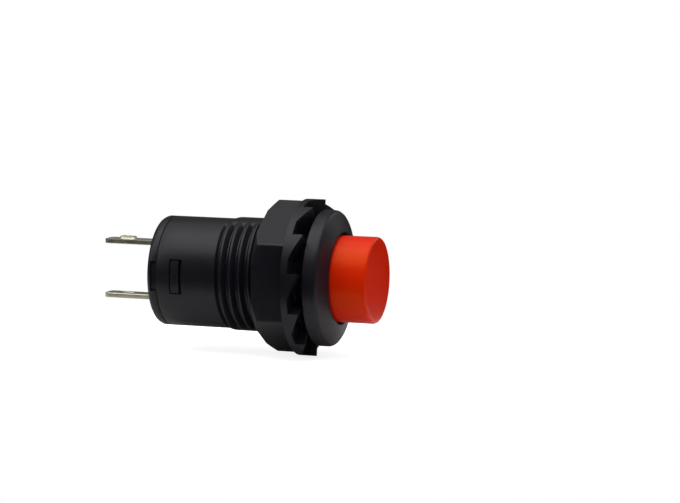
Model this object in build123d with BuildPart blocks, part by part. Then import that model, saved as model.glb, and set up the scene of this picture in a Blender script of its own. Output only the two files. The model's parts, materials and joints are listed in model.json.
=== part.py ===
from build123d import *
from math import cos, radians, sin
import os

# Latching push button switch for a 12 mm panel hole, in millimetres.
# +X runs along the barrel axis out of the panel, +Z is up.
# The origin is on the axis, in the plane of the bezel's rear face.
os.makedirs("parts", exist_ok=True)

# ---- driving dimensions ---------------------------------------------------
# housing
bezel_r = 7.0
bezel_t = 2.15
bezel_rim = 1.15            # straight height of the bezel's rim
bezel_slope = (1.5, 6.62)   # where the bezel's edge turns over to its cone
bezel_lip_r = 4.8           # the cone ends in a narrow flat round the button
crest_r = 5.95              # M12 x 1 thread, outside
root_r = 5.4
pitch = 1.0
crest_w = 0.24
thread_end = -9.8
runout = 0.2                # slope between the thread and the skirt
ridge_count = 9
skirt_r = 5.7
strip_r = 5.53              # smooth strips that split the thread, at +Z and -Z
strip_angle = 45
seam_x = -16.2              # the base closes the housing here
button_bore_r = 4.6
web_front = -3.4
web_back = -4.2
web_bore_r = 1.62
chamber_r = 4.9
window_front = -13.5
window_back = -14.75
window_w = 3.6
guide_back = -13.0          # inner rib that keeps the latch follower in its track
guide_front = -8.0
guide_gap = 0.05

# mounting nut
nut_back = -5.45
hex_af = 13.7
hex_front = -2.3
corner_from_r = 7.1         # the turned slope over the hexagon's rear corners starts here
corner_slope = 0.65         # and is this long
flange_r = 8.05
flange_slope = 0.35         # the flange's back slopes out over this length
tooth_root = -1.25
tooth_tip = -0.2
tooth_count = 12
tooth_ramp = 2.6            # tangential run of a tooth's sloping side
tooth_land = (0.12, 0.3)    # the flat on its tip, from and to
tooth_in = 5.75             # the teeth's blocks start here, inside the bore
first_tooth = 9             # degrees from the -Y flat towards +Z
nut_bore_r = 6.0

# construction
lap = 0.1                   # how far joined forms and cuts run past their faces

# button and plunger
travel = 2.6
cap_front = 5.9
cap_r = 4.45
cap_wall = 0.8
cap_front_t = 1.0
cap_edge = 0.3
cap_back = web_front + travel + 0.05
stem_r = 1.5
stem_end = 3.6
grip_r = 1.48               # the cap's socket grips the stem
grip_end = 3.8
socket_r = 2.3
socket_back = cap_back + 0.6
disc_r = 4.8
disc_back = web_back - 1.0
key_w = 1.0                 # housing ribs that keep the plunger from turning
key_r = 4.3
key_end = -8.6
pad_y = 3.5                 # face that carries the latch track
pad_back = -9.4
pad_half = 1.9
collar_t = 0.5              # contact spring's seat behind the pad
track_depth = 0.6
sleeve_r = 1.8
sleeve_bore_r = 1.45
sleeve_seat = -5.6          # return spring's seat inside the sleeve
sleeve_end = -12.5
lug_r = 2.3
lug_w = 1.2

# latch follower and its track
wire_r = 0.2
leg_y = 3.8
pivot_x = -13.6
pivot_end = 2.75
tip_x = -8.75
tip_swing = 1.0
latch_x = 1.85              # button travel at which the latch holds
island_back = tip_x + 0.68
island_half = 0.44
notch_half = 0.26
notch_in = 0.38
slip = 0.1                  # clearance beside what slides
tip_end = 2.98              # the follower's tip stands just clear of the track's floor
steer = (0.45, -0.15, 0.12)  # tooth of the track: its base from and to, and its point
steer_reach = 0.05          # how far the point stands out past the lane's middle

# contacts
bridge_front = -11.6
bridge_t = 0.4
contact_gap = 1.3
contact_z = 3.55
contact_r = 0.5
contact_h = 0.35
ring_r = 2.55               # bridge's ring round the sleeve
arm_w = 2.4
arm_end = 4.15
blade_z = 2.85
blade_t = 0.5
blade_w = 2.0
blade_end = -23.8
head_z = 4.15               # the terminal's head reaches out to here
eyelet_front = -20.6
eyelet_back = -22.4
eyelet_w = 0.8
burr_h = 0.28
burr_wall = 0.2
burr_corner_r = 0.35
tip_chamfer = 0.3

# base
plug_r = 4.85
plug_front = -14.5
base_back = -17.2
pocket_r = 2.45
pocket_x = -15.5
post_r = 0.85
post_x = -13.2
hook_w = 3.1
hook_front = -13.85
hook_back = -14.7
arm_y = 4.2
arm_front = -13.6
notch_w = 3.08
notch_depth = 0.5
notch_back = -16.85
rear_edge_r = 5.55          # the ring's rear edge draws in to this
ear_y = (2.7, 3.45)         # the ear that carries the follower's pivot
ear_r = 0.6
snug = 0.04                 # clearance round what the base holds: the pivot and the blades

# springs
spring_wire_r = 0.15
return_mean_r = 1.15
return_turns = 6
contact_mean_r = 2.15
contact_turns = 3
turn_steps = 10             # straight lengths in each turn of a spring

bridge_back = bridge_front - bridge_t
moving_face = bridge_back - contact_h
fixed_face = moving_face - contact_gap
head_front = fixed_face - contact_h


def strip_sector(up):
    """The smooth strip's share of the section: a triangle from the axis out past the crests."""
    side = bezel_r * sin(radians(strip_angle / 2))
    rise = bezel_r * cos(radians(strip_angle / 2)) * up
    Polygon((0, 0), (side, rise), (-side, rise), align=None)


# ---- housing: bezel, split-threaded barrel and skirt in one moulding -------
first_ridge = thread_end + runout + pitch / 2
thread_outline = [(thread_end, skirt_r), (thread_end + runout, root_r)]
for ridge in range(ridge_count):
    middle = first_ridge + pitch * ridge
    thread_outline += [
        (middle - crest_w / 2, crest_r), (middle + crest_w / 2, crest_r),
        (middle + pitch / 2, root_r),
    ]

with BuildPart() as housing:
    with BuildSketch(Plane.XZ):
        Polygon(
            (seam_x, skirt_r), *thread_outline, (0, root_r), (0, bezel_r),
            (bezel_rim, bezel_r), bezel_slope, (bezel_t, bezel_lip_r),
            (bezel_t, button_bore_r), (web_front, button_bore_r), (web_front, web_bore_r),
            (web_back, web_bore_r), (web_back, chamber_r), (seam_x, chamber_r), align=None,
        )
    revolve(axis=Axis.X)

    # smooth strips that fill the thread's roots and cut through its crests
    for up in (1, -1):
        with BuildSketch(Plane.YZ.offset(thread_end)):
            strip_sector(up)
            Circle(strip_r, mode=Mode.INTERSECT)
            Circle(root_r - lap, mode=Mode.SUBTRACT)
        extrude(amount=-thread_end)
        with BuildSketch(Plane.YZ.offset(thread_end + runout / 2)):
            strip_sector(up)
            Circle(crest_r + lap, mode=Mode.INTERSECT)
            Circle(strip_r, mode=Mode.SUBTRACT)
        extrude(amount=-thread_end - runout / 2, mode=Mode.SUBTRACT)

    # snap windows through both sides of the skirt
    with BuildSketch(Plane.XZ):
        with Locations(((window_front + window_back) / 2, 0)):
            Rectangle(window_front - window_back, window_w)
    extrude(amount=skirt_r + lap, both=True, mode=Mode.SUBTRACT)

    # keys that guide the plunger, and the rib that keeps the follower in its track
    with BuildSketch(Plane.YZ.offset(key_end)):
        Rectangle(key_w, 2 * (chamber_r + lap))
        Circle(key_r, mode=Mode.SUBTRACT)
    extrude(amount=web_back - key_end)
    with BuildSketch(Plane.YZ.offset(guide_back)):
        with Locations((leg_y + wire_r + guide_gap, 0)):
            Rectangle(chamber_r, 2 * (tip_swing + wire_r + slip), align=(Align.MIN, Align.CENTER))
        Circle(chamber_r + lap, mode=Mode.INTERSECT)
    extrude(amount=guide_front - guide_back)

housing.part.label = "housing"
export_step(housing.part, "parts/housing.step")


# ---- mounting nut: hexagon, flange and a ring of saw teeth -----------------
with BuildPart() as mounting_nut:
    with BuildSketch(Plane.YZ.offset(nut_back)):
        RegularPolygon(hex_af / 2, 6, major_radius=False, rotation=30)
    extrude(amount=hex_front - nut_back)

    with BuildSketch(Plane.XZ):
        Polygon(
            (hex_front, 0), (hex_front, hex_af / 2), (hex_front + flange_slope, flange_r),
            (tooth_root, flange_r), (tooth_root, 0), align=None,
        )
    revolve(axis=Axis.X)

    # each tooth has a steep side that faces round the axis and a long ramp
    for tooth in range(tooth_count):
        angle = radians(first_tooth + tooth * 360 / tooth_count)
        outward = Plane(origin=(0, 0, 0), x_dir=(1, 0, 0), z_dir=(0, -cos(angle), sin(angle)))
        with BuildSketch(outward.offset(tooth_in)):
            Polygon(
                (tooth_root - lap, 0), (tooth_tip, -tooth_land[0]), (tooth_tip, -tooth_land[1]),
                (tooth_root, -tooth_ramp), (tooth_root - lap, -tooth_ramp), align=None,
            )
        extrude(amount=flange_r + lap - tooth_in)

    # the corners of the hexagon and the teeth are turned down to one envelope
    corner_r = hex_af / 2 / cos(radians(30))
    with BuildSketch(Plane.XZ):
        Polygon(
            (nut_back, 0), (nut_back, corner_from_r), (nut_back + corner_slope, corner_r),
            (nut_back + corner_slope, flange_r), (tooth_tip, flange_r), (tooth_tip, 0),
            align=None,
        )
    revolve(axis=Axis.X, mode=Mode.INTERSECT)

    with BuildSketch(Plane.YZ.offset(nut_back)):
        Circle(nut_bore_r)
    extrude(amount=tooth_tip - nut_back, mode=Mode.SUBTRACT)

mounting_nut.part.label = "mounting_nut"
export_step(mounting_nut.part, "parts/mounting_nut.step")


# ---- button cap: thin-walled cup with a socket for the plunger's stem ------
with BuildPart() as button_cap:
    with BuildSketch(Plane.XZ):
        Polygon(
            (cap_back, cap_r), (cap_front - cap_edge, cap_r), (cap_front, cap_r - cap_edge),
            (cap_front, 0), (grip_end, 0), (grip_end, grip_r),
            (socket_back, grip_r), (socket_back, socket_r), (cap_front - cap_front_t, socket_r),
            (cap_front - cap_front_t, cap_r - cap_wall), (cap_back, cap_r - cap_wall),
            align=None,
        )
    revolve(axis=Axis.X)

button_cap.part.label = "button_cap"
export_step(button_cap.part, "parts/button_cap.step")


# ---- plunger: stem, guide disc, latch pad and sleeve in one moulding -------
with BuildPart() as plunger:
    with BuildSketch(Plane.XZ):
        Polygon(
            (stem_end, 0), (stem_end, stem_r), (web_back, stem_r), (web_back, disc_r),
            (disc_back, disc_r), (disc_back, sleeve_r), (pad_back + collar_t, sleeve_r),
            (pad_back + collar_t, ring_r), (pad_back, ring_r), (pad_back, sleeve_r),
            (sleeve_end, sleeve_r), (sleeve_end, 0), align=None,
        )
    revolve(axis=Axis.X)

    # latch pad between the disc and the collar
    with BuildSketch(Plane.YZ.offset(pad_back)):
        Rectangle(pad_y, 2 * pad_half, align=(Align.MIN, Align.CENTER))
    extrude(amount=disc_back - pad_back)

    # bayonet lugs that hold the contact bridge on the sleeve
    with BuildSketch(Plane.YZ.offset(sleeve_end)):
        Rectangle(2 * lug_r, lug_w)
        Circle(lug_r, mode=Mode.INTERSECT)
    extrude(amount=bridge_back - sleeve_end)

    # bore for the return spring
    with BuildSketch(Plane.YZ.offset(sleeve_end)):
        Circle(sleeve_bore_r)
    extrude(amount=sleeve_seat - sleeve_end, mode=Mode.SUBTRACT)

    # notches for the housing's keys
    with BuildSketch(Plane.YZ.offset(disc_back)):
        Rectangle(key_w + 2 * slip, 2 * (disc_r + lap))
        Circle(key_r - slip, mode=Mode.SUBTRACT)
    extrude(amount=web_back - disc_back, mode=Mode.SUBTRACT)

    # heart-shaped latch track: a rounded three-cornered pocket around an island
    lane = wire_r + slip
    front = tip_x + travel
    island_front = tip_x + latch_x + slip
    with BuildSketch(Plane.XZ.offset(-pad_y)):
        Polygon((tip_x, 0), (front, tip_swing), (front, -tip_swing), align=None)
        offset(amount=lane, kind=Kind.ARC)
        # tooth that steers the released follower into the island's notch
        Polygon(
            (front + lane, steer[0]), (front + lane, steer[1]), (front - steer_reach, steer[2]),
            align=None, mode=Mode.SUBTRACT,
        )
        # island with the notch that holds the button down
        Polygon(
            (island_back, 0), (island_front, island_half), (island_front, notch_half),
            (island_front - notch_in, 0), (island_front, -notch_half),
            (island_front, -island_half), align=None, mode=Mode.SUBTRACT,
        )
    extrude(amount=track_depth, mode=Mode.SUBTRACT)

plunger.part.label = "plunger"
export_step(plunger.part, "parts/plunger.step")


# ---- latch follower: bent spring wire, pivoted in the base -----------------
with BuildPart() as latch_follower:
    with BuildLine():
        Polyline(
            (pivot_x, pivot_end, 0), (pivot_x, leg_y, 0), (tip_x, leg_y, 0), (tip_x, tip_end, 0),
        )
    with BuildSketch(Plane.XZ.offset(-pivot_end)):
        with Locations((pivot_x, 0)):
            Circle(wire_r)
    sweep(transition=Transition.RIGHT)

latch_follower.part.label = "latch_follower"
export_step(latch_follower.part, "parts/latch_follower.step")


# ---- springs: wound wire, followed in short straight lengths ---------------
springs = (
    ("return_spring", pocket_x, sleeve_seat, return_mean_r, return_turns),
    ("contact_spring", bridge_front, pad_back, contact_mean_r, contact_turns),
)
for label, back, front, mean_r, turns in springs:
    rise = front - back - 2 * spring_wire_r
    steps = turns * turn_steps
    stations = []
    for step in range(steps + 1):
        turned = radians(360 * step / turn_steps)
        along = back + spring_wire_r + rise * step / steps
        stations.append((along, mean_r * cos(turned), mean_r * sin(turned)))
    with BuildPart() as spring:
        with BuildLine() as coil:
            Polyline(*stations)
        with BuildSketch(Plane(coil.line @ 0, z_dir=coil.line % 0)):
            RegularPolygon(spring_wire_r, 6)
        sweep(transition=Transition.RIGHT)
    spring.part.label = label
    export_step(spring.part, "parts/" + label + ".step")


# ---- contact bridge: stamped plate that slides on the plunger's sleeve -----
with BuildPart() as contact_bridge:
    with BuildSketch(Plane.YZ.offset(bridge_back)):
        Circle(ring_r)
        Rectangle(arm_w, 2 * arm_end)
        Circle(sleeve_r + slip, mode=Mode.SUBTRACT)
        Rectangle(lug_w + 2 * slip, 2 * (lug_r + slip / 2), mode=Mode.SUBTRACT)
    extrude(amount=bridge_t)

contact_bridge.part.label = "contact_bridge"
export_step(contact_bridge.part, "parts/contact_bridge.step")


# ---- contacts: silver buttons, two welded to the bridge, two to the terminals
contacts = (
    ("moving_contact_upper", bridge_back, contact_z, -contact_h),
    ("moving_contact_lower", bridge_back, -contact_z, -contact_h),
    ("fixed_contact_upper", head_front, contact_z, contact_h),
    ("fixed_contact_lower", head_front, -contact_z, contact_h),
)
for label, seat_x, seat_z, height in contacts:
    with BuildPart() as contact:
        with BuildSketch(Plane.YZ.offset(seat_x)):
            with Locations((0, seat_z)):
                Circle(contact_r)
        extrude(amount=height)
    contact.part.label = label
    export_step(contact.part, "parts/" + label + ".step")


# ---- terminals: tinned blades with a bent head inside and a burred eyelet --
for side, up in (("upper", 1), ("lower", -1)):
    inner = up * (blade_z - blade_t / 2)
    outer = up * (blade_z + blade_t / 2)
    with BuildPart() as terminal:
        with BuildSketch(Plane.XZ):
            with BuildLine():
                Polyline(
                    (head_front - blade_t, inner), (blade_end, inner), (blade_end, outer),
                    (plug_front, outer), (plug_front, up * head_z),
                    (head_front, up * head_z), (head_front, outer),
                )
                RadiusArc((head_front, outer), (head_front - blade_t, inner), up * blade_t)
            make_face()
        extrude(amount=blade_w / 2, both=True)
        tip_edges = edges().filter_by(Axis.Z).group_by(Axis.X)[0]
        chamfer(tip_edges, tip_chamfer)

        # punched eyelet with the burr left standing on its outer side
        with BuildSketch(Plane.XY.offset(outer)):
            with Locations(((eyelet_front + eyelet_back) / 2, 0)):
                RectangleRounded(
                    eyelet_front - eyelet_back, eyelet_w + 2 * burr_wall, burr_corner_r
                )
        extrude(amount=up * burr_h)
        with BuildSketch(Plane.XY.offset(outer + up * burr_h)):
            with Locations(((eyelet_front + eyelet_back) / 2, 0)):
                RectangleRounded(
                    eyelet_front - eyelet_back - 2 * burr_wall, eyelet_w, burr_corner_r
                )
        extrude(amount=-up * (burr_h + blade_t), mode=Mode.SUBTRACT)
    terminal.part.label = "terminal_" + side
    export_step(terminal.part, "parts/terminal_" + side + ".step")


# ---- base: rear cover that snaps into the housing and holds the terminals --
with BuildPart() as base:
    with BuildSketch(Plane.XZ):
        Polygon(
            (post_x, 0), (post_x, post_r), (pocket_x, post_r),
            (pocket_x, pocket_r), (plug_front, pocket_r), (plug_front, plug_r),
            (seam_x, plug_r), (seam_x, skirt_r), (notch_back, skirt_r),
            (base_back, rear_edge_r), (base_back, 0), align=None,
        )
    revolve(axis=Axis.X)

    # snap arms and hooks on both sides
    for start, end, reach in ((plug_front, arm_front, plug_r), (hook_back, hook_front, skirt_r)):
        with BuildSketch(Plane.YZ.offset(start)):
            Rectangle(2 * reach, hook_w)
            Circle(reach, mode=Mode.INTERSECT)
            Rectangle(2 * arm_y, hook_w, mode=Mode.SUBTRACT)
        extrude(amount=end - start)

    # release notches in the ring, open to the seam
    with BuildSketch(Plane.YZ.offset(notch_back)):
        Rectangle(2 * (skirt_r + lap), notch_w)
        Rectangle(2 * (skirt_r - notch_depth), notch_w, mode=Mode.SUBTRACT)
    extrude(amount=seam_x - notch_back, mode=Mode.SUBTRACT)

    # ear with the follower's pivot hole
    with BuildSketch(Plane.XZ.offset(-ear_y[1])):
        with Locations((pivot_x, 0)):
            Circle(ear_r)
            Rectangle(pivot_x - plug_front + lap, 2 * ear_r, align=(Align.MAX, Align.CENTER))
            Circle(wire_r + snug, mode=Mode.SUBTRACT)
    extrude(amount=ear_y[1] - ear_y[0])

    # slots that the terminals pass through
    with BuildSketch(Plane.YZ.offset(base_back)):
        with Locations((0, blade_z), (0, -blade_z)):
            Rectangle(blade_w + snug, blade_t + snug)
    extrude(amount=plug_front - base_back, mode=Mode.SUBTRACT)

base.part.label = "base"
export_step(base.part, "parts/base.step")
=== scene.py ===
import json
import math

import bmesh
import bpy
import numpy as np
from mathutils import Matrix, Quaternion, Vector


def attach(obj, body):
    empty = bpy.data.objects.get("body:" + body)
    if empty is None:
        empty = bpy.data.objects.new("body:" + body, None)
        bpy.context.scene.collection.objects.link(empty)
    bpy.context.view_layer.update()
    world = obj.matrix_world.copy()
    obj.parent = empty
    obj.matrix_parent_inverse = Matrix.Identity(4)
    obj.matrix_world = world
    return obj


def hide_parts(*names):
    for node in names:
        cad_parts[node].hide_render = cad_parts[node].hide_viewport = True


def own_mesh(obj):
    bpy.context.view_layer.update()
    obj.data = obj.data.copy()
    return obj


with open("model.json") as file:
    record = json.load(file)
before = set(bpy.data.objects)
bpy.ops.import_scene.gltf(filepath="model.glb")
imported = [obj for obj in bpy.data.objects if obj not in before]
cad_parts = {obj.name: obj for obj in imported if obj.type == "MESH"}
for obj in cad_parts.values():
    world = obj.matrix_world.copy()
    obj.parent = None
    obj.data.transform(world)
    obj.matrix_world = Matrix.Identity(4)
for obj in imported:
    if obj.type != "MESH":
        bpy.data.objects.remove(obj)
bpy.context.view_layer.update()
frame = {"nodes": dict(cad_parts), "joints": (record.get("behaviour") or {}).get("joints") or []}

# ---------------------------------------------------------------------------
# Base: the rear cover, moulded in black glass-filled nylon. It carries the two
# terminals in tight slots and the return spring on a post, and two hooks on
# short arms snap it into the housing. It is prised off at the side notches.

# sizes are in millimetres: x along the barrel's axis, y across, z up, r out from the axis
MM = 0.001
TURN = 2 * np.pi
SKIRT_R, SEAM_X, BASE_BACK = 5.7, -16.2, -17.2
PLUG_R, PLUG_FRONT = 4.85, -14.5
POCKET_R, POCKET_X = 2.45, -15.5
POST_R, POST_X = 0.85, -13.2
REAR_EDGE_R = 5.42
NOTCH_HALF, NOTCH_DEPTH, NOTCH_BACK = math.asin(1.54 / SKIRT_R), 0.22, -16.85
SLOT_Z, SLOT_Y, SLOT_DEPTH = (2.55, 3.15), 1.06, 0.9
HOOK_HALF, HOOK_R, HOOK_X = 1.5, 5.69, (-14.66, -13.74)
ARM_R, ARM_X = 4.25, (-14.6, -13.35)
EAR_Y, EAR_R, PIVOT = (2.7, 3.45), 0.6, (-13.6, 3.8)


def spaced(low, high, count, extra=()):
    """Values from low to high at even steps, with the extra ones put in among them."""
    return np.unique(np.round(np.concatenate([np.linspace(low, high, count), extra]), 9))


def smooth_step(t):
    """3t^2 - 2t^3, held to 0 below t = 0 and to 1 above t = 1."""
    t = np.clip(t, 0, 1)
    return t * t * (3 - 2 * t)


def turned(rows, theta):
    """Points of a turned surface. Row i lies at station x_i(theta) and radius r_i(theta), and
    theta runs from the side at -Y up towards +Z: (x, -r cos theta, r sin theta)."""
    x = np.stack([np.broadcast_to(x, theta.shape) for x, r in rows])
    r = np.stack([np.broadcast_to(r, theta.shape) for x, r in rows])
    return np.stack([x, -r * np.cos(theta), r * np.sin(theta)], axis=-1)


def bar(inner, outer, low, high):
    """The four sides and two ends of a bar whose section runs between two lines of (x, z)
    points and whose width runs from y = low to y = high."""
    inner, outer = np.array(inner, float), np.array(outer, float)
    corners = [(inner, low), (outer, low), (outer, high), (inner, high), (inner, low)]
    sides = np.stack([np.stack([line[:, 0], np.full(len(line), y), line[:, 1]], axis=-1)
                      for line, y in corners])
    ends = [np.stack([sides[[0, 1], k], sides[[3, 2], k]]) for k in (0, -1)]
    return [sides, *ends]


def rounded_sector(x, r, half_width, side, soft=0.06, steps=9):
    """A block that follows the barrel: its section is the rectangle x by r with its corners
    cut by soft, carried round the axis over the half width, and drawn in at both ends."""
    middle, size = np.array([sum(x), sum(r)]) / 2, np.array([x[1] - x[0], r[1] - r[0]]) / 2
    flat = size - soft
    section = np.array([[-flat[0], -size[1]], [flat[0], -size[1]], [size[0], -flat[1]],
                        [size[0], flat[1]], [flat[0], size[1]], [-flat[0], size[1]],
                        [-size[0], flat[1]], [-size[0], -flat[1]], [-flat[0], -size[1]]])
    across = np.linspace(-half_width + soft, half_width - soft, steps)
    across = np.concatenate([[-half_width] * 2, across, [half_width] * 2])
    scale = np.ones((len(across), 1, 2))
    scale[[1, -2]] = flat / size
    scale[[0, -1]] = 0
    place = middle + section * scale
    theta = np.arcsin(across / middle[1])[:, None]
    return np.stack([place[..., 0], -side * place[..., 1] * np.cos(theta),
                     place[..., 1] * np.sin(theta)], axis=-1)


def solid_piece(name, sheets, material, body, nodes, sharp=40):
    """A closed mesh from sheets of points in millimetres, each shaped (rows, columns, 3), or
    such a sheet with the cells that it keeps. Points that meet are welded, faces are turned
    outwards, and edges sharper than the given angle in degrees stay crisp."""
    stack, faces, total = [], [], 0
    for sheet in sheets:
        points, kept = sheet if isinstance(sheet, tuple) else (sheet, None)
        rows, columns = points.shape[:2]
        k = total + np.arange(rows * columns).reshape(rows, columns)
        cells = np.stack([k[:-1, :-1], k[:-1, 1:], k[1:, 1:], k[1:, :-1]], axis=-1)
        faces.append((cells if kept is None else cells[kept]).reshape(-1, 4))
        stack.append(points.reshape(-1, 3))
        total += rows * columns
    mesh = bpy.data.meshes.new(name)
    mesh.from_pydata((np.concatenate(stack) * MM).tolist(), [], np.concatenate(faces).tolist())
    welded = bmesh.new()
    welded.from_mesh(mesh)
    bmesh.ops.remove_doubles(welded, verts=welded.verts, dist=4e-7)
    bmesh.ops.dissolve_degenerate(welded, edges=welded.edges, dist=2e-7)
    bmesh.ops.recalc_face_normals(welded, faces=welded.faces)
    welded.to_mesh(mesh)
    welded.free()
    mesh.shade_smooth()
    mesh.set_sharp_from_angle(angle=math.radians(sharp))
    mesh.materials.append(material)
    piece = bpy.data.objects.new(name, mesh)
    bpy.context.scene.collection.objects.link(piece)
    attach(piece, body)
    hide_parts(*nodes)
    return piece


def linear(code):
    """The linear colour of an sRGB hex code, with alpha 1."""
    value = np.array([int(code[k:k + 2], 16) for k in (1, 3, 5)]) / 255
    value = np.where(value <= 0.04045, value / 12.92, ((value + 0.055) / 1.055) ** 2.4)
    return (*value, 1.0)


def add_node(tree, kind, links=None, **settings):
    """Adds a node of that kind to the tree, sets its values and links its inputs. A setting
    is an input's value where the node has an input of that name, and otherwise a property."""
    node = tree.nodes.new("ShaderNode" + kind)
    for key, value in settings.items():
        socket = node.inputs.get(key.replace("_", " "))
        if socket is None:
            setattr(node, key, value)
        else:
            socket.default_value = value
    for key, source in (links or {}).items():
        tree.links.new(source, node.inputs[key])
    return node


def moulded_plastic(name, dark, light, rough, grain_mm, grain_depth, shine=0.5, scatter=0.0,
                    sheen_tint="#FFFFFF"):
    """Injection-moulded plastic. The tool's spark-eroded surface leaves a fine grain, seen as
    small bumps, and its polish varies slowly over a few millimetres, so the sheen is uneven."""
    material = bpy.data.materials.new(name)
    material.use_nodes = True
    tree = material.node_tree
    tree.nodes.clear()
    place = add_node(tree, "TexCoord").outputs["Object"]
    grain = add_node(tree, "TexNoise", {"Vector": place}, Scale=1 / (grain_mm * MM), Detail=3.0)
    drift = add_node(tree, "TexNoise", {"Vector": place}, Scale=1 / (4.0 * MM), Detail=2.0)
    tint = add_node(tree, "MixRGB", {"Fac": drift.outputs["Fac"]}, Color1=linear(dark),
                    Color2=linear(light))
    polish = add_node(tree, "MapRange", {"Value": drift.outputs["Fac"]}, From_Min=0.3,
                      From_Max=0.7, To_Min=rough - 0.04, To_Max=rough + 0.04)
    bump = add_node(tree, "Bump", {"Height": grain.outputs["Fac"]}, Strength=0.4,
                    Distance=grain_depth * MM)
    shader = add_node(tree, "BsdfPrincipled",
                      {"Base Color": tint.outputs["Color"], "Roughness": polish.outputs["Result"],
                       "Normal": bump.outputs["Normal"]}, IOR=1.53)
    shader.inputs["Specular IOR Level"].default_value = shine
    shader.inputs["Specular Tint"].default_value = linear(sheen_tint)
    shader.inputs["Subsurface Weight"].default_value = scatter
    shader.inputs["Subsurface Scale"].default_value = 0.5 * MM
    add_node(tree, "OutputMaterial", {"Surface": shader.outputs["BSDF"]})
    return material


# black glass-filled nylon: near-black with a cool cast, satin, finely grained by its tool
black_nylon = moulded_plastic("moulded_black_nylon", "#111118", "#17171F", 0.4, 0.11, 0.02,
                              shine=0.28)

# the ring's columns run up one side, theta from -90 to 90 degrees, and are mirrored to the
# other, so that the rear face can be laid in level rows between them with the slots left out
slot_rows = np.arcsin(np.array(SLOT_Z) / REAR_EDGE_R)
half = spaced(-np.pi / 2, np.pi / 2, 145, [*slot_rows, *-slot_rows])
half = np.sort(np.concatenate([half, [-NOTCH_HALF] * 2, [NOTCH_HALF] * 2]))
inside = np.abs(half) < NOTCH_HALF - 1e-9
inside[np.searchsorted(half, -NOTCH_HALF) + 1] = True
inside[np.searchsorted(half, NOTCH_HALF)] = True
notched = np.where(inside, SKIRT_R - NOTCH_DEPTH, SKIRT_R)
rows = [(BASE_BACK, REAR_EDGE_R), (BASE_BACK + 0.03, REAR_EDGE_R + 0.1),
        (BASE_BACK + 0.12, REAR_EDGE_R + 0.17), (NOTCH_BACK, SKIRT_R), (NOTCH_BACK, notched),
        (SEAM_X - 0.12, notched), (SEAM_X - 0.05, notched - 0.03), (SEAM_X - 0.03, notched - 0.1),
        (SEAM_X - 0.03, PLUG_R), (PLUG_FRONT - 0.15, PLUG_R), (PLUG_FRONT, PLUG_R - 0.15),
        (PLUG_FRONT, POCKET_R), (POCKET_X, POCKET_R), (POCKET_X, POST_R),
        (POST_X - 0.25, POST_R), (POST_X, POST_R - 0.25), (POST_X, 0)]
ring = turned(rows, half)
mirrored = ring * [1, -1, 1]

# rear face: level rows cut off at the edge circle, with the cells in the slots left out
reach = REAR_EDGE_R * np.cos(half)[:, None]
across = np.array([-REAR_EDGE_R, -4, -2.5, -SLOT_Y, SLOT_Y, 2.5, 4, REAR_EDGE_R])
y = np.clip(across, -reach, reach)
z = np.broadcast_to(REAR_EDGE_R * np.sin(half)[:, None], y.shape)
rear_face = np.stack([np.full_like(y, BASE_BACK), y, z], axis=-1)
kept = np.ones((len(half) - 1, len(across) - 1), bool)
slots = []
for up in (-1, 1):
    edges = np.sort(up * slot_rows)
    low, high = np.argmin(np.abs(half - edges[0])), np.argmin(np.abs(half - edges[1]))
    kept[low:high, 3] = False
    mouth = rear_face[[low, low, high, high, low], [3, 4, 4, 3, 3]]
    floor = mouth + [SLOT_DEPTH, 0, 0]
    slots += [np.stack([mouth, floor]), np.stack([floor[[0, 1]], floor[[3, 2]]])]

arms = []
for side in (1, -1):
    arms.append(rounded_sector(ARM_X, (ARM_R, PLUG_R), HOOK_HALF, side))
    arms.append(rounded_sector(HOOK_X, (ARM_R, HOOK_R), HOOK_HALF, side))
tip = np.linspace(-np.pi / 2, np.pi / 2, 9)
ear_end = np.stack([PIVOT[0] + EAR_R * np.cos(tip), EAR_R * np.sin(tip)], axis=-1)
ear_root = np.stack([np.full(9, PLUG_FRONT - 0.1), EAR_R * np.sin(tip)], axis=-1)
ear = bar(ear_root, ear_end, *EAR_Y)
solid_piece("base_moulding", [ring, mirrored, (rear_face, kept), *slots, *arms, *ear],
            black_nylon, "body", ["base"])


# ---------------------------------------------------------------------------
# Terminals: two blades stamped from 0.5 mm brass strip and tinned. Each eyelet is
# pierced from inside, which leaves its burr standing on the outer face, and the
# head inside is bent outwards behind the fixed contact. They are pressed into the base.

BLADE_Z, BLADE_T, BLADE_HALF = 2.85, 0.5, 1.0
BLADE_END, BLADE_FRONT, HEAD_BACK, HEAD_Z = -23.8, -15.2, -14.5, 4.15
TIP_CUT = 0.3                      # how far the tip's corners are cut back
EYELET_X, EYELET_HALF = -21.5, (0.7, 0.4)
BURR_H = {"upper": 0.28, "lower": 0.05}     # the lower one is pressed nearly flat


def stadium(grow, phi):
    """A round-ended slot about the eyelet's centre, made larger by grow: in the direction phi,
    (|cos / a|^n + |sin / b|^n)^(-1/n) with n = 3.5."""
    a, b = EYELET_HALF[0] + grow, EYELET_HALF[1] + grow
    return (np.abs(np.cos(phi) / a) ** 3.5 + np.abs(np.sin(phi) / b) ** 3.5) ** (-1 / 3.5)


def blade_outline(inset, phi):
    """Distance from the eyelet's centre to the blade's edge: the nearest of the lines that
    bound it, which are its two long sides, its ends and the cut corners of its tip."""
    tip = EYELET_X - BLADE_END
    lines = [((0, 1), BLADE_HALF), ((0, -1), BLADE_HALF), ((-1, 0), tip),
             ((1, 0), BLADE_FRONT - EYELET_X)]
    cut = (tip + BLADE_HALF - TIP_CUT) / math.sqrt(2)
    lines += [((-math.sqrt(0.5), s * math.sqrt(0.5)), cut) for s in (1, -1)]
    reach = np.full(phi.shape, 1e3)
    for (nx, ny), distance in lines:
        towards = nx * np.cos(phi) + ny * np.sin(phi)
        reach = np.where(towards > 1e-6, np.minimum(reach, (distance - inset) / np.maximum(
            towards, 1e-6)), reach)
    return reach


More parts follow.
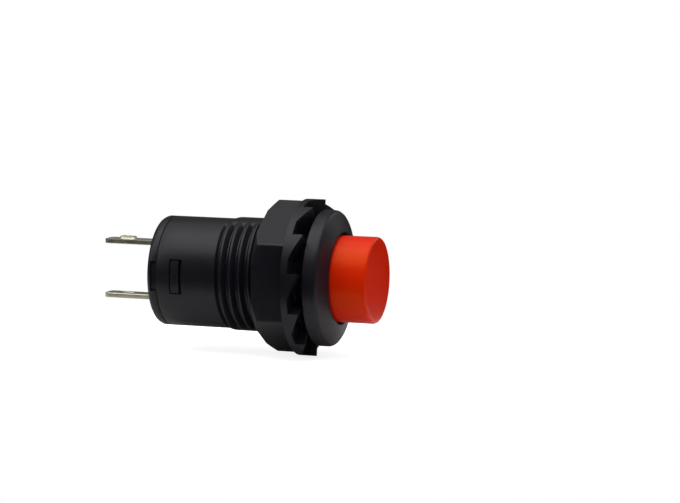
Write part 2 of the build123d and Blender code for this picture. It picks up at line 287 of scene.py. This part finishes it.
def drawn_metal(name, dark, light, rough, grain_mm):
    """Metal strip or wire after drawing: fine streaks along x in polish, and soft patches in
    colour.
    """
    material = bpy.data.materials.new(name)
    material.use_nodes = True
    tree = material.node_tree
    tree.nodes.clear()
    place = add_node(tree, "TexCoord").outputs["Object"]
    along = add_node(tree, "Mapping", {"Vector": place}, Scale=(0.15, 1, 1))
    streaks = add_node(tree, "TexNoise", {"Vector": along.outputs["Vector"]},
                       Scale=1 / (grain_mm * MM), Detail=4.0)
    clouds = add_node(tree, "TexNoise", {"Vector": place}, Scale=1 / (0.9 * MM), Detail=3.0)
    tint = add_node(tree, "MixRGB", {"Fac": clouds.outputs["Fac"]}, Color1=linear(dark),
                    Color2=linear(light))
    polish = add_node(tree, "MapRange", {"Value": streaks.outputs["Fac"]}, From_Min=0.3,
                      From_Max=0.7, To_Min=rough - 0.08, To_Max=rough + 0.08)
    bump = add_node(tree, "Bump", {"Height": streaks.outputs["Fac"]}, Strength=0.3,
                    Distance=0.006 * MM)
    shader = add_node(tree, "BsdfPrincipled",
                      {"Base Color": tint.outputs["Color"], "Roughness": polish.outputs["Result"],
                       "Normal": bump.outputs["Normal"]}, Metallic=1.0)
    add_node(tree, "OutputMaterial", {"Surface": shader.outputs["BSDF"]})
    return material


# tinned brass: bright but not polished, faintly drawn along the strip, greyer in patches
tinned_brass = drawn_metal("tinned_brass", "#ABA896", "#D2CFBE", 0.42, 0.08)

corners = [math.atan2(BLADE_HALF, BLADE_FRONT - EYELET_X),
           math.pi - math.atan2(BLADE_HALF, EYELET_X - BLADE_END - TIP_CUT),
           math.pi - math.atan2(BLADE_HALF - TIP_CUT, EYELET_X - BLADE_END)]
phi = spaced(-np.pi, np.pi, 97, corners + [-c for c in corners])
for label, up in (("upper", 1), ("lower", -1)):
    inner, outer = BLADE_Z - BLADE_T / 2, BLADE_Z + BLADE_T / 2
    ragged = BURR_H[label] * (1 + 0.06 * np.sin(5 * phi + 1))
    section = [(stadium(0.05, phi), inner), (stadium(0, phi), inner + 0.06),
               (stadium(0, phi), outer + ragged - 0.03), (stadium(0.04, phi), outer + ragged),
               (stadium(0.13, phi), outer + ragged - 0.05), (stadium(0.2, phi), outer + 0.05),
               (stadium(0.26, phi), outer), (blade_outline(0.07, phi), outer),
               (blade_outline(0.015, phi), outer - 0.03), (blade_outline(0, phi), outer - 0.09),
               (blade_outline(0, phi), inner + 0.07), (blade_outline(0.05, phi), inner),
               (stadium(0.05, phi), inner)]
    reach = np.stack([r for r, z in section])
    height = np.stack([np.broadcast_to(z, phi.shape) for r, z in section])
    blade = np.stack([EYELET_X + reach * np.cos(phi), reach * np.sin(phi), up * height], axis=-1)
    turn = np.linspace(0, np.pi / 2, 7)
    bend = [(BLADE_FRONT - 0.4, inner), *zip(HEAD_BACK + BLADE_T * np.sin(turn),
                                             outer - BLADE_T * np.cos(turn)),
            (HEAD_BACK + BLADE_T, HEAD_Z)]
    back = [(BLADE_FRONT - 0.4, outer), *[(HEAD_BACK, outer)] * 7, (HEAD_BACK, HEAD_Z)]
    bend, back = np.array(bend) * [1, up], np.array(back) * [1, up]
    head = bar(bend, back, -BLADE_HALF, BLADE_HALF)
    solid_piece("terminal_strip_" + label, [blade, *head], tinned_brass, "body",
                ["terminal_" + label], sharp=35)


# ---------------------------------------------------------------------------
# Contacts and bridge: four silver buttons, two welded to the terminals' heads and
# two to a bridge stamped from copper alloy strip, which slides on the plunger.
# Their solids have the right shape and only take their finish here.

# contact silver: pale, coined smooth, dulled in soft patches by handling
contact_silver = drawn_metal("contact_silver", "#C9C6BD", "#EDEBE4", 0.34, 0.1)
# copper alloy strip: bare, salmon-brown, with rolling streaks
copper_strip = drawn_metal("copper_alloy_strip", "#A8623C", "#D08A5C", 0.36, 0.07)
finishes = {"contact_bridge": copper_strip}
for kind in ("moving", "fixed"):
    for side in ("upper", "lower"):
        finishes[f"{kind}_contact_{side}"] = contact_silver


def dress(finishes):
    """Gives each solid that stays as it is its finish, in all of its material slots."""
    for name, material in finishes.items():
        mesh = frame["nodes"][name].data
        mesh.materials.clear()
        mesh.materials.append(material)


dress(finishes)


# ---------------------------------------------------------------------------
# Latch follower: a pin bent from 0.4 mm spring-steel wire. Its foot turns in the
# base's ear, and its tip follows the heart-shaped track in the plunger's side.

WIRE_R, BEND_R, TIP_X, TIP_END, FOOT_END = 0.2, 0.3, -8.75, 2.98, 2.75


def wire(path, side, radius, steps=12):
    """Round wire along a path of points. side is a direction square to the path at each point;
    the section is path + radius (side cos a + (tangent x side) sin a), closed at both ends."""
    path = np.concatenate([path[:1], path[:1], path, path[-1:], path[-1:]])
    side = np.concatenate([side[:1], side[:1], side, side[-1:], side[-1:]])
    tangent = np.gradient(path[2:-2], axis=0)
    tangent = tangent / np.linalg.norm(tangent, axis=1, keepdims=True)
    tangent = np.concatenate([tangent[:1]] * 2 + [tangent] + [tangent[-1:]] * 2)
    swell = np.ones((len(path), 1, 1))
    swell[[0, -1]], swell[[1, -2]] = 0, 0.75
    path[[0, 1]] -= tangent[0] * radius * np.array([[0.25], [0.25]])
    path[[-1, -2]] += tangent[-1] * radius * np.array([[0.25], [0.25]])
    a = np.linspace(0, TURN, steps + 1)[:, None]
    across = np.cross(tangent, side)
    ring = side[:, None] * np.cos(a) + across[:, None] * np.sin(a)
    return path[:, None] + radius * swell * ring


def bent(points, radius, count=7):
    """A path in the level plane with each right-angled corner rounded to the given radius."""
    points = [np.array(p, float) for p in points]
    path = [points[0]]
    for before, corner, after in zip(points, points[1:], points[2:]):
        into = (before - corner) / np.linalg.norm(before - corner)
        out = (after - corner) / np.linalg.norm(after - corner)
        a = np.linspace(0, np.pi / 2, count)[:, None]
        centre = corner + radius * (into + out)
        path += list(centre - radius * (out * np.cos(a) + into * np.sin(a)))
    return np.array(path + [points[-1]])


# spring steel wire: drawn, mid grey, with a dull polish
spring_steel = drawn_metal("drawn_spring_steel", "#8C8C8A", "#B9B9B6", 0.32, 0.05)
path = bent([(PIVOT[0], FOOT_END, 0), (*PIVOT, 0), (TIP_X, PIVOT[1], 0), (TIP_X, TIP_END, 0)],
            BEND_R)
upright = np.broadcast_to([0.0, 0.0, 1.0], path.shape)
solid_piece("follower_wire", [wire(path, upright, WIRE_R)], spring_steel, "follower",
            ["latch_follower"], sharp=50)


# ---------------------------------------------------------------------------
# Springs: two compression springs coiled from 0.3 mm spring-steel wire with closed
# ends. The return spring stands on the base's post inside the plunger's sleeve, and
# the contact spring presses the bridge away from the plunger's collar.

COIL_WIRE_R = 0.15
SPRING_SEATS = {"return": (-15.5, -5.6), "contact": (-11.6, -9.4)}
SPRING_R = {"return": 1.15, "contact": 2.15}
SPRING_TURNS = {"return": 8, "contact": 3}


def spring_path(back, front, mean_r, turns, steps=28):
    """A helix between two seats. Its pitch is one wire at both ends and widens between them:
    x is the running sum of pitch (t), scaled so that the last turn meets the front seat."""
    t = np.linspace(0, turns, turns * steps + 1)
    wide = smooth_step(np.minimum(t, turns - t) - 0.4)
    rise = front - back - 2 * COIL_WIRE_R
    closed = 2 * COIL_WIRE_R * t
    opened = np.cumsum(wide) / wide.sum()
    x = back + COIL_WIRE_R + closed + (rise - closed[-1]) * opened
    angle = TURN * t
    return (np.stack([x, mean_r * np.cos(angle), mean_r * np.sin(angle)], axis=-1),
            np.stack([np.zeros_like(t), np.cos(angle), np.sin(angle)], axis=-1))


path, side = spring_path(*SPRING_SEATS["return"], SPRING_R["return"], SPRING_TURNS["return"])
return_spring = solid_piece("return_coil", [wire(path, side, COIL_WIRE_R)], spring_steel,
                            "body", ["return_spring"], sharp=50)
path, side = spring_path(*SPRING_SEATS["contact"], SPRING_R["contact"], SPRING_TURNS["contact"])
contact_spring = solid_piece("contact_coil", [wire(path, side, COIL_WIRE_R)], spring_steel,
                             "button", ["contact_spring"], sharp=50)
travel = {joint["name"]: joint["range_m"][1] / MM for joint in frame["joints"]
          if "range_m" in joint}
for piece, label, shut in ((return_spring, "return", travel["button_travel"]),
                           (contact_spring, "contact", travel["bridge_travel"])):
    back, front = SPRING_SEATS[label]
    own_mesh(piece)


# ---------------------------------------------------------------------------
# Plunger: white acetal, moulded with its guide disc, latch track and sleeve in one.
# Its solid has the true shape. Acetal is waxy, slightly see-through and smooth.

white_acetal = moulded_plastic("moulded_acetal", "#DAD8D0", "#E8E6DF", 0.38, 0.2, 0.008,
                               scatter=0.2)
dress({"plunger": white_acetal})


# ---------------------------------------------------------------------------
# Housing: bezel, split M12 x 1 thread and smooth skirt in one piece of black
# glass-filled nylon, moulded between two slides that part along the smooth
# strips. Two windows near the rear take the base's hooks.

BEZEL_R, BEZEL_T, LIP_R = 7.0, 2.15, 4.8
CONE, ROLL_R = math.atan2(6.62 - LIP_R, BEZEL_T - 1.5), 0.5
CREST_R, ROOT_R, PITCH = 5.95, 5.4, 1.0
THREAD_END = -9.8
FIRST_CREST = -9.13
CREST_HALF, ROOT_HALF = 0.1, 0.44
STRIP_R, STRIP_HALF, STRIP_FADE = 5.87, math.radians(22.5), math.radians(8)
BORE_R, CHAMBER_R, STEM_HOLE_R = 4.6, 4.9, 1.62
WEB_FRONT, WEB_BACK = -3.4, -4.2
WINDOW = (-14.75, -13.5)
WINDOW_HALF = math.asin(1.8 / SKIRT_R)
SOFT = 0.06                        # size of a broken moulded edge


def thread_rows(low, high, theta, radius):
    """Rows of a screw surface between two stations. Each row keeps one place in the thread's
    profile and moves back by a pitch over a full turn; rows past an end lie on it."""
    profile = np.array([0, 0.05, CREST_HALF, 0.16, 0.3, ROOT_HALF, 0.5])
    profile = np.concatenate([profile, 1 - profile[-2:0:-1]]) * PITCH
    first = FIRST_CREST + PITCH * math.floor((low - FIRST_CREST) / PITCH)
    turns = math.ceil((high - low) / PITCH) + 3
    stations = (first + PITCH * np.arange(turns)[:, None] + profile).ravel()
    stations = stations[(stations >= low - 1e-9) & (stations <= high + 1.08 * PITCH)]
    x = [np.clip(s - PITCH * theta / TURN, low, high) for s in stations]
    return [(station, radius(station, theta)) for station in x]


def ridge(x, theta):
    """0 in the thread's root and 1 on its crest, for a right-hand thread."""
    off = (x + PITCH * theta / TURN - FIRST_CREST) / PITCH
    off = np.abs(off - np.round(off))
    return np.clip((ROOT_HALF - off) / (ROOT_HALF - CREST_HALF), 0, 1)


def strip_share(theta):
    """1 on the smooth strips at +Z and -Z, 0 on the threaded sides, with a soft run-out between."""
    off = np.abs(np.abs(theta - np.pi) - np.pi / 2)
    return smooth_step((STRIP_HALF - off) / STRIP_FADE + 0.5)


def barrel_radius(x, theta):
    """The threaded barrel: ridges on a round root, filled nearly to the crests on the strips,
    with a short relief under the bezel. The last groove ends in a shoulder up to the skirt
    that follows the thread, from the middle of the upper strip once round and back to it."""
    relief = smooth_step((-0.35 - x) / 0.35)
    end = THREAD_END - PITCH * (np.mod(theta + 1.5 * np.pi, TURN) - 1.5 * np.pi) / TURN
    groove = smooth_step((x - end) / 0.2)
    shoulder = SKIRT_R - groove * (SKIRT_R - ROOT_R)
    cut = np.maximum(ROOT_R + (CREST_R - ROOT_R) * ridge(x, theta) * relief * groove, shoulder)
    share = strip_share(theta)
    strip = SKIRT_R + smooth_step((x - THREAD_END) / 0.8) * (STRIP_R - SKIRT_R)
    return cut * (1 - share) + strip * share


edges = [np.pi / 2 + a for a in (-STRIP_HALF, STRIP_HALF)]
edges += [e + np.pi for e in edges]
edges = [e + STRIP_FADE * d for e in edges for d in (-0.5, -0.25, 0, 0.25, 0.5)]
window_edges = [c + s * (WINDOW_HALF + d) for c in (0, np.pi, TURN) for s in (-1, 1)
                for d in (0, SOFT / SKIRT_R)]
window_edges = [e for e in window_edges if 0 <= e <= TURN]
around = spaced(0, TURN, 289, edges + window_edges)

skirt = [-16.08] + [WINDOW[0] - SOFT, WINDOW[0], WINDOW[1], WINDOW[1] + SOFT] + [-11.6]
cone_end = BEZEL_T - (BEZEL_R - LIP_R) / math.tan(CONE)
roll_x = cone_end - ROLL_R * math.tan(CONE / 2)
rows = [(BEZEL_T, LIP_R - 0.06), (BEZEL_T - 0.01, LIP_R + 0.02)]
rows += [(BEZEL_T - (r - LIP_R) / math.tan(CONE), r) for r in (4.9, 5.3, 5.7, 6.1, 6.4, 6.6)]
rows += [(roll_x + ROLL_R * math.sin(a), BEZEL_R - ROLL_R * (1 - math.cos(a)))
         for a in np.linspace(CONE, 0, 10)]
rows += [(0.6, BEZEL_R), (SOFT, BEZEL_R), (0, BEZEL_R - SOFT), (0, 6.2), (0, 5.75)]
rows += thread_rows(THREAD_END - 0.5 * PITCH, 0, around, barrel_radius)[::-1]
outer_start = len(rows)
rows += [(x, SKIRT_R) for x in skirt[::-1]]
rows += [(SEAM_X + 0.03, SKIRT_R - 0.03), (SEAM_X, SKIRT_R - 0.12), (SEAM_X, CHAMBER_R + 0.1)]
inner_start = len(rows)
rows += [(x, CHAMBER_R) for x in skirt]
rows += [(WEB_BACK, CHAMBER_R), (WEB_BACK, STEM_HOLE_R), (WEB_FRONT, STEM_HOLE_R)]
rows += [(WEB_FRONT, BORE_R), (BEZEL_T - 0.12, BORE_R), (BEZEL_T - 0.03, BORE_R + 0.03)]
rows += [rows[0]]
points = turned(rows, around)

# the windows: their cells are left out of both walls, and the walls are joined round them
kept = np.ones((len(rows) - 1, len(around) - 1), bool)
outer_rows = [outer_start + 2, outer_start + 3]
inner_rows = [inner_start + 3, inner_start + 2]
sides = []
for middle in (0, np.pi, TURN):
    columns = np.flatnonzero(np.abs(around - middle) <= WINDOW_HALF + 1e-9)
    first, last = columns[0], columns[-1]
    points[outer_rows, first:last + 1, 1:] *= (SKIRT_R - SOFT) / SKIRT_R
    outer = points[outer_rows, first:last + 1]
    inner = points[inner_rows, first:last + 1]
    kept[outer_rows[0], first:last] = False
    kept[inner_rows[1], first:last] = False
    sides += [np.stack([outer[0], inner[0]]), np.stack([outer[1], inner[1]])]
    for column, angle in ((0, around[first]), (-1, around[last])):
        if 0 < angle < TURN:
            sides.append(np.stack([outer[:, column], inner[:, column]]))
solid_piece("housing_moulding", [(points, kept), *sides], black_nylon, "body", ["housing"])


# ---------------------------------------------------------------------------
# Button cap: orange ABS, moulded as a thin cup and pushed onto the plunger's stem.
# Its face is flat with a rounded rim, and the socket inside grips the stem.

CAP_FRONT, CAP_R, CAP_EDGE, CAP_BACK, CAP_WALL = 5.9, 4.45, 0.3, -0.75, 0.8
SOCKET_R, GRIP_R, GRIP_END = 2.3, 1.48, 3.8

orange_abs = moulded_plastic("moulded_orange_abs", "#DC1E01", "#E02601", 0.34, 0.3, 0.006,
                             shine=0.3, sheen_tint="#FFD264")
rows = [(CAP_FRONT, r) for r in (0, 1.5, 3.0, 3.9)]
rows += [(CAP_FRONT - CAP_EDGE * (1 - math.cos(a)), CAP_R - CAP_EDGE * (1 - math.sin(a)))
         for a in np.linspace(0, np.pi / 2, 7)]
rows += [(x, CAP_R) for x in (5.2, 4, 2, 0)]
rows += [(CAP_BACK + 0.06, CAP_R), (CAP_BACK, CAP_R - 0.06)]
rows += [(CAP_BACK, CAP_R - CAP_WALL), (CAP_FRONT - 1, CAP_R - CAP_WALL)]
rows += [(CAP_FRONT - 1, SOCKET_R), (CAP_BACK + 0.6, SOCKET_R), (CAP_BACK + 0.6, GRIP_R)]
rows += [(GRIP_END, GRIP_R), (GRIP_END, 0)]
solid_piece("button_cap_moulding", [turned(rows, np.linspace(0, TURN, 129))], orange_abs,
            "button", ["button_cap"], sharp=50)


# ---------------------------------------------------------------------------
# Mounting nut: black nylon, moulded as a hexagon with a flange whose front is a
# ring of twelve saw teeth that bite the back of the panel. Its rear corners are
# turned down, and its bore carries the thread.

NUT_BACK, HEX_R, HEX_FRONT = -5.45, 6.85, -2.3
HEX_SOFT, TURNED_R, TURNED_SLOPE, CREASE = 0.3, 7.1, 0.8, 0.11
FLANGE_R, FLANGE_BACK, NUT_BORE_R, NUT_THREAD_DEPTH = 8.05, -1.95, 6.0, 0.3
TOOTH_ROOT, TOOTH_TIP, TEETH = -1.25, -0.2, 12
FIRST_TOOTH, RAMP, LAND = math.radians(9), math.radians(18.5), math.radians(1.2)
TOOTH_PITCH = TURN / TEETH
corner_r = (HEX_R - HEX_SOFT) / math.cos(TURN / 12)
corner_arc = math.atan2(HEX_SOFT * math.sin(TURN / 12), corner_r + HEX_SOFT * math.cos(TURN / 12))


def hexagon(theta):
    """Distance from the axis to a hexagon whose corners are rounded. On a side it is r / cos of
    the angle from the middle of the flat. Within the corner's arc it is the distance c cos b +
    sqrt(s^2 - c^2 sin^2 b), for an arc of radius s centred at c, at the angle b from it."""
    off = theta - np.round(theta / (TURN / 6)) * TURN / 6
    b = np.minimum(np.abs(np.abs(off) - TURN / 12), corner_arc)
    arc = corner_r * np.cos(b) + np.sqrt(HEX_SOFT ** 2 - (corner_r * np.sin(b)) ** 2)
    return np.where(b < corner_arc, arc, HEX_R / np.cos(off))


steep = (FIRST_TOOTH + TOOTH_PITCH * np.arange(TEETH)) % TURN
hex_corners = TURN / 12 + TURN / 6 * np.arange(6)[:, None] + corner_arc * np.linspace(-1, 1, 7)
breaks = np.concatenate([steep, (steep - LAND) % TURN, (steep - RAMP) % TURN, hex_corners.ravel()])
around = np.sort(np.concatenate([spaced(0, TURN, 121, breaks), np.round(steep, 9)]))
behind = np.mod(FIRST_TOOTH - around, TOOTH_PITCH)
behind[behind > TOOTH_PITCH - 1e-6] = 0
behind[np.append(False, np.diff(around) == 0)] = TOOTH_PITCH
rise = np.clip((RAMP - behind) / (RAMP - LAND), 0, 1)
teeth = TOOTH_ROOT + (TOOTH_TIP - TOOTH_ROOT) * rise
flats = hexagon(around)
start = np.minimum(flats, TURNED_R)
crease = NUT_BACK + (flats - start) * TURNED_SLOPE
before = np.minimum(CREASE, (flats - start) / 2)
down = (crease - before * TURNED_SLOPE, flats - before)
meet = HEX_FRONT + (flats - HEX_R) / (FLANGE_R - HEX_R) * (FLANGE_BACK - HEX_FRONT)
rows = [(NUT_BACK + 0.25, NUT_BORE_R), (NUT_BACK, NUT_BORE_R + 0.25), (NUT_BACK, start), down]
rows += [(crease + (CREASE - before * TURNED_SLOPE) / 4, flats - before / 4)]
rows += [(crease + CREASE, flats), (-4.2, flats), (-3.4, flats), (-2.7, flats), (meet, flats)]
rows += [(FLANGE_BACK, FLANGE_R), (TOOTH_ROOT - 0.2, FLANGE_R)]
rows += [(teeth, FLANGE_R), (teeth, 7.4), (teeth, 6.7), (teeth, NUT_BORE_R)]
rows += [(TOOTH_ROOT - 0.2, NUT_BORE_R)]


def nut_thread(x, theta):
    """The nut's bore: its own radius on the crests and NUT_THREAD_DEPTH more between them,
    where the barrel's ridges run, with both ends faded out."""
    ends = smooth_step((x - NUT_BACK - 0.25) / 0.3) * smooth_step((TOOTH_ROOT - 0.2 - x) / 0.3)
    return NUT_BORE_R + NUT_THREAD_DEPTH * ridge(x, theta) * ends


rows += thread_rows(NUT_BACK + 0.25, TOOTH_ROOT - 0.2, around, nut_thread)[::-1]
rows += [rows[0]]
nut = solid_piece("mounting_nut_moulding", [turned(rows, around)], black_nylon, "nut",
                  ["mounting_nut"], sharp=30)
edge = nut.modifiers.new("broken_edges", "BEVEL")
edge.width, edge.segments, edge.limit_method = 0.11 * MM, 2, "ANGLE"
edge.angle_limit = math.radians(28)


# ---------------------------------------------------------------------------
# Studio: a white card that keeps the shadow, one wide soft light overhead, a weaker one
# behind it and three small weak ones around. Card and room are white to the camera, and
# reflections show both more dimly, with the room darkest in front and below.

FLOOR_Z = -8.2
SWITCH_MIDDLE = Vector((-8, 0, 0))
FLOOR = ((-75, -18), (60, -18), (60, 26), (-75, 26))
LENS, TARGET, DISTANCE = 142, (1.8, 0, 2.8), 274.4
AZIMUTH, ELEVATION, ROLL = math.radians(17.6), math.radians(6.52), math.radians(0.72)

floor_mesh = bpy.data.meshes.new("studio_floor")
floor_mesh.from_pydata([(x * MM, y * MM, FLOOR_Z * MM) for x, y in FLOOR], [], [(0, 1, 2, 3)])
floor = bpy.data.objects.new("studio_floor", floor_mesh)
bpy.context.scene.collection.objects.link(floor)
paper = bpy.data.materials.new("white_paper")
paper.use_nodes = True
tree = paper.node_tree
tree.nodes.clear()
place = add_node(tree, "TexCoord").outputs["Object"]
far = add_node(tree, "VectorMath", {"Vector": place}, operation="LENGTH")
glow = add_node(tree, "MapRange", {"Value": far.outputs["Value"]}, From_Min=14 * MM,
                From_Max=70 * MM, To_Min=0.84, To_Max=1.0)
path = add_node(tree, "LightPath").outputs
seen = add_node(tree, "Math", {0: path["Is Glossy Ray"], 1: path["Is Transmission Ray"]},
                operation="MAXIMUM")
haze = add_node(tree, "MapRange", {"Value": far.outputs["Value"]}, From_Min=20 * MM,
                From_Max=120 * MM, To_Min=0.0, To_Max=0.15)
mirrored = add_node(tree, "Math", {0: seen.outputs[0], 1: haze.outputs["Result"]},
                    operation="MULTIPLY")
level = add_node(tree, "Math", {0: path["Is Camera Ray"], 1: glow.outputs["Result"],
                                2: mirrored.outputs[0]}, operation="MULTIPLY_ADD")
sheet = add_node(tree, "BsdfDiffuse", Color=linear("#DEDEDE"))
white = add_node(tree, "Emission", {"Strength": level.outputs[0]}, Color=(1, 1, 1, 1))
both = add_node(tree, "AddShader", {0: sheet.outputs["BSDF"], 1: white.outputs["Emission"]})
add_node(tree, "OutputMaterial", {"Surface": both.outputs["Shader"]})
floor_mesh.materials.append(paper)

world = bpy.data.worlds.new("studio")
bpy.context.scene.world = world
world.use_nodes = True
tree = world.node_tree
tree.nodes.clear()
way = add_node(tree, "SeparateXYZ", {"Vector": add_node(tree, "TexCoord").outputs["Generated"]})
closed = add_node(tree, "MapRange", {"Value": way.outputs["Y"]}, From_Min=-0.75, From_Max=0.1,
                  To_Min=0.2, To_Max=1.0)
path = add_node(tree, "LightPath").outputs
seen = add_node(tree, "Math", {0: path["Is Glossy Ray"], 1: path["Is Transmission Ray"]},
                operation="MAXIMUM")
above = add_node(tree, "MapRange", {"Value": way.outputs["Z"]}, From_Min=-0.05, From_Max=0.08,
                 To_Min=0.0, To_Max=0.1)
dim = add_node(tree, "Math", {0: closed.outputs["Result"], 1: above.outputs["Result"]},
               operation="MULTIPLY")
room = add_node(tree, "MapRange", {"Value": seen.outputs[0], "To Max": dim.outputs[0]},
                To_Min=0.22)
room = add_node(tree, "Math", {0: room.outputs["Result"], 1: path["Is Camera Ray"]},
                operation="MAXIMUM")
sky = add_node(tree, "Background", {"Strength": room.outputs[0]}, Color=(1, 1, 1, 1))
add_node(tree, "OutputWorld", {"Surface": sky.outputs["Background"]})


def soft_light(name, place, width, depth, watts, colour):
    """A rectangular area light at a place in millimetres, turned to SWITCH_MIDDLE."""
    data = bpy.data.lights.new(name, "AREA")
    data.shape, data.size, data.size_y = "RECTANGLE", width * MM, depth * MM
    data.energy, data.color = watts, colour
    light = bpy.data.objects.new(name, data)
    light.location = Vector(place) * MM
    light.rotation_euler = (SWITCH_MIDDLE - Vector(place)).to_track_quat("-Z", "Y").to_euler()
    bpy.context.scene.collection.objects.link(light)


soft_light("overhead_light", (0, -75, 290), 500, 290, 1.05, (1, 0.99, 0.98))
soft_light("rear_light", (0, 115, 277), 500, 160, 0.16, (1, 0.99, 0.98))
soft_light("left_light", (-220, -130, 150), 150, 150, 0.13, (1, 0.99, 0.97))
soft_light("right_light", (220, -20, 200), 150, 150, 0.05, (0.98, 0.99, 1))
soft_light("back_light", (150, 250, 130), 150, 150, 0.07, (0.98, 0.99, 1))

camera_data = bpy.data.cameras.new("camera")
camera_data.lens, camera_data.sensor_width = LENS, 36
camera_data.clip_start, camera_data.clip_end = 0.01, 10
camera = bpy.data.objects.new("camera", camera_data)
away = Vector((math.sin(AZIMUTH) * math.cos(ELEVATION), -math.cos(AZIMUTH) * math.cos(ELEVATION),
               math.sin(ELEVATION)))
camera.location = (Vector(TARGET) + away * DISTANCE) * MM
camera.rotation_mode = "QUATERNION"
camera.rotation_quaternion = away.to_track_quat("Z", "Y") @ Quaternion((0, 0, 1), ROLL)
bpy.context.scene.collection.objects.link(camera)
bpy.context.scene.camera = camera
bpy.context.scene.view_settings.view_transform = "Standard"
